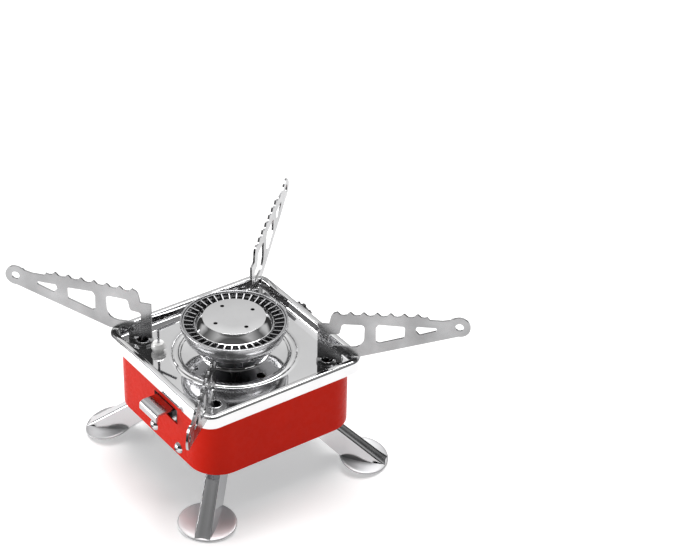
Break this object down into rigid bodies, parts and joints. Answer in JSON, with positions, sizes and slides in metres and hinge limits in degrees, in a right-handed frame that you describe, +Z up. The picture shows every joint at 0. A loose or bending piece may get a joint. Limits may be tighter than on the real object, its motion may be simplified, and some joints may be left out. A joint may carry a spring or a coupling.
{
  "type": "camping stove",
  "caption": "Square folding camping stove with a recessed tray, round burner, swing-out pot arms, fold-under legs, cartridge port, lock lever, valve knob and igniter.",
  "frame": {"origin": "on the ground under the centre of the burner, with the legs opened out", "axes": "+Z up; -Y is the face with the lock lever, -X the face with the cartridge port, +Y the face with the knob and the igniter"},
  "size_m": [0.1626, 0.1595, 0.0891],
  "materials": {
    "red_paint": "glossy red enamel",
    "mirror_steel": "mirror-polished stainless",
    "arm_steel": "tumbled satin stainless",
    "leg_steel": "polished stainless",
    "rivet_steel": "bright plated",
    "plated_steel": "zinc-plated sheet",
    "zinc_casting": "as-cast alloy",
    "brass": "turned brass",
    "copper_pipe": "drawn copper",
    "black_plastic": "fine texture",
    "red_plastic": "smooth moulded",
    "spring_steel": "bare drawn wire",
    "seal_rubber": "moulded",
    "lead_sleeve": "silicone sleeve",
    "ceramic": "glazed white ceramic"
  },
  "bodies": {
    "stove_body": {"shell": "red_paint", "top_tray": "mirror_steel", "burner_cap": "mirror_steel", "burner_bowl": "mirror_steel", "fin_ring": "mirror_steel", "arm_rivets": "rivet_steel", "tray_rivets": "rivet_steel", "face_screws": "rivet_steel", "leg_rivets": "rivet_steel", "base_screws": "rivet_steel", "base_plate": "plated_steel", "burner_bracket": "plated_steel", "lever_guide": "plated_steel", "port_collar": "plated_steel", "mixing_tube": "plated_steel", "valve_body": "zinc_casting", "jet_block": "zinc_casting", "gas_jet": "brass", "gas_pipe": "copper_pipe", "igniter_body": "black_plastic", "button_spring": "spring_steel", "electrode_pin": "spring_steel", "port_seal": "seal_rubber", "spindle_seal": "seal_rubber", "igniter_lead": "lead_sleeve", "electrode_insulator": "ceramic"},
    "front_arm": {"arm_front": "arm_steel"},
    "right_arm": {"arm_right": "arm_steel"},
    "back_arm": {"arm_back": "arm_steel"},
    "left_arm": {"arm_left": "arm_steel"},
    "front_leg": {"leg_front": "leg_steel"},
    "right_leg": {"leg_right": "leg_steel"},
    "back_leg": {"leg_back": "leg_steel"},
    "left_leg": {"leg_left": "leg_steel"},
    "gas_control": {"control_knob": "black_plastic", "control_spindle": "brass"},
    "cartridge_lock": {"lock_lever": "leg_steel"},
    "igniter_push": {"igniter_button": "red_plastic"}
  },
  "joints": [
    {"name": "front_arm_fold", "type": "hinge", "parent": "stove_body", "child": "front_arm", "pos_m": [0.03182, -0.03125, 0.0565], "axis": [0, 0, 1], "range_deg": [0, 127]},
    {"name": "right_arm_fold", "type": "hinge", "parent": "stove_body", "child": "right_arm", "pos_m": [0.03125, 0.03182, 0.0565], "axis": [0, 0, 1], "range_deg": [0, 130]},
    {"name": "back_arm_fold", "type": "hinge", "parent": "stove_body", "child": "back_arm", "pos_m": [-0.03182, 0.03125, 0.0565], "axis": [0, 0, 1], "range_deg": [0, 133]},
    {"name": "left_arm_fold", "type": "hinge", "parent": "stove_body", "child": "left_arm", "pos_m": [-0.03125, -0.03182, 0.0565], "axis": [0, 0, 1], "range_deg": [0, 132]},
    {"name": "front_leg_fold", "type": "hinge", "parent": "stove_body", "child": "front_leg", "pos_m": [0.02475, -0.02475, 0.0227], "axis": [0, 0, 1], "range_deg": [0, 135]},
    {"name": "right_leg_fold", "type": "hinge", "parent": "stove_body", "child": "right_leg", "pos_m": [0.02475, 0.02475, 0.0227], "axis": [0, 0, 1], "range_deg": [0, 135]},
    {"name": "back_leg_fold", "type": "hinge", "parent": "stove_body", "child": "back_leg", "pos_m": [-0.02475, 0.02475, 0.0227], "axis": [0, 0, 1], "range_deg": [0, 135]},
    {"name": "left_leg_fold", "type": "hinge", "parent": "stove_body", "child": "left_leg", "pos_m": [-0.02475, -0.02475, 0.0227], "axis": [0, 0, 1], "range_deg": [0, 140]},
    {"name": "gas_control_turn", "type": "hinge", "parent": "stove_body", "child": "gas_control", "pos_m": [-0.022, 0.045, 0.0392], "axis": [0, 1, 0], "range_deg": [0, 270]},
    {"name": "cartridge_lock_slide", "type": "slide", "parent": "stove_body", "child": "cartridge_lock", "axis": [0, 0, -1], "range_m": [0, 0.006]},
    {"name": "igniter_push_slide", "type": "slide", "parent": "stove_body", "child": "igniter_push", "axis": [0, -1, 0], "range_m": [0, 0.004], "stiffness_N_per_m": 900, "springref_m": -0.001, "deforming": ["button_spring"]}
  ]
}
